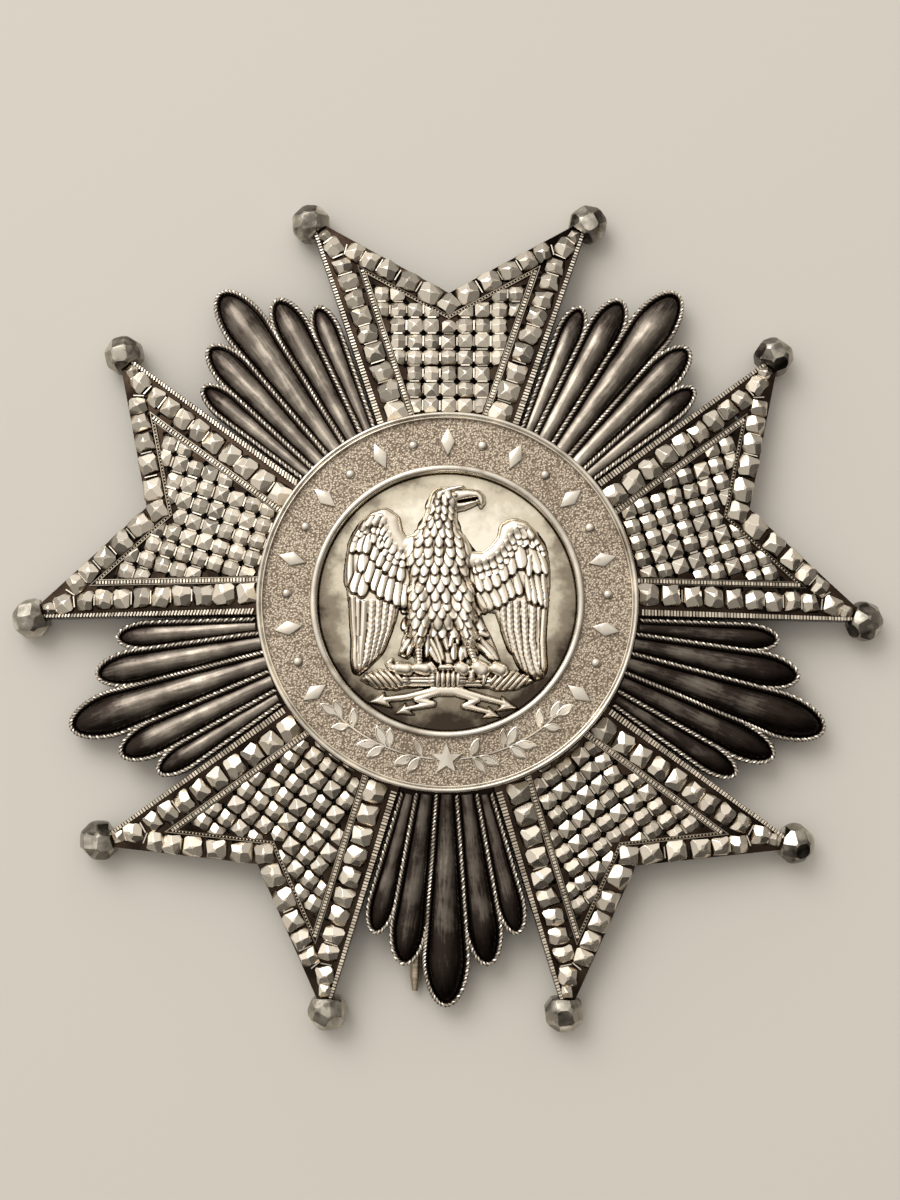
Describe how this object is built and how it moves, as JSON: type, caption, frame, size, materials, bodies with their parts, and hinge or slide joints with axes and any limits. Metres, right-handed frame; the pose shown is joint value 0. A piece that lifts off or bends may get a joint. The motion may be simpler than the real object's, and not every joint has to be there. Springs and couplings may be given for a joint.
{
  "type": "breast star",
  "caption": "Star-shaped breast badge with studded forked arms, rope-edged rays between them, balls on the points, and a round medallion with an eagle.",
  "frame": {"origin": "on the star's axis, at the level the balls rest on", "axes": "+Z out of the face, +Y towards the upper arm, +X to the right as seen from the front"},
  "size_m": [0.0911, 0.0869, 0.0099],
  "materials": {
    "cut_silver": "bright-cut facets with dark tarnish between them",
    "ball_silver": "cut and polished facets, greyed",
    "oxidised_silver": "darkened rays, worn bright on the crowns and ropes",
    "struck_silver": "stippled ground, polished rims",
    "ground_silver": "satin, darker towards the edge",
    "relief_silver": "chased relief, dark in the hollows",
    "back_silver": "plain, dull, tarnished"
  },
  "bodies": {
    "root": {"arm_1": "cut_silver", "arm_2": "cut_silver", "arm_3": "cut_silver", "arm_4": "cut_silver", "arm_5": "cut_silver", "ball_1": "ball_silver", "ball_2": "ball_silver", "ball_3": "ball_silver", "ball_4": "ball_silver", "ball_5": "ball_silver", "ball_6": "ball_silver", "ball_7": "ball_silver", "ball_8": "ball_silver", "ball_9": "ball_silver", "ball_10": "ball_silver", "ray_fan_1": "oxidised_silver", "ray_fan_2": "oxidised_silver", "ray_fan_3": "oxidised_silver", "ray_fan_4": "oxidised_silver", "ray_fan_5": "oxidised_silver", "hub_plate": "back_silver", "medallion_ring": "struck_silver", "centre_disc": "ground_silver", "eagle": "relief_silver", "brooch_pin": "back_silver"}
  },
  "joints": []
}
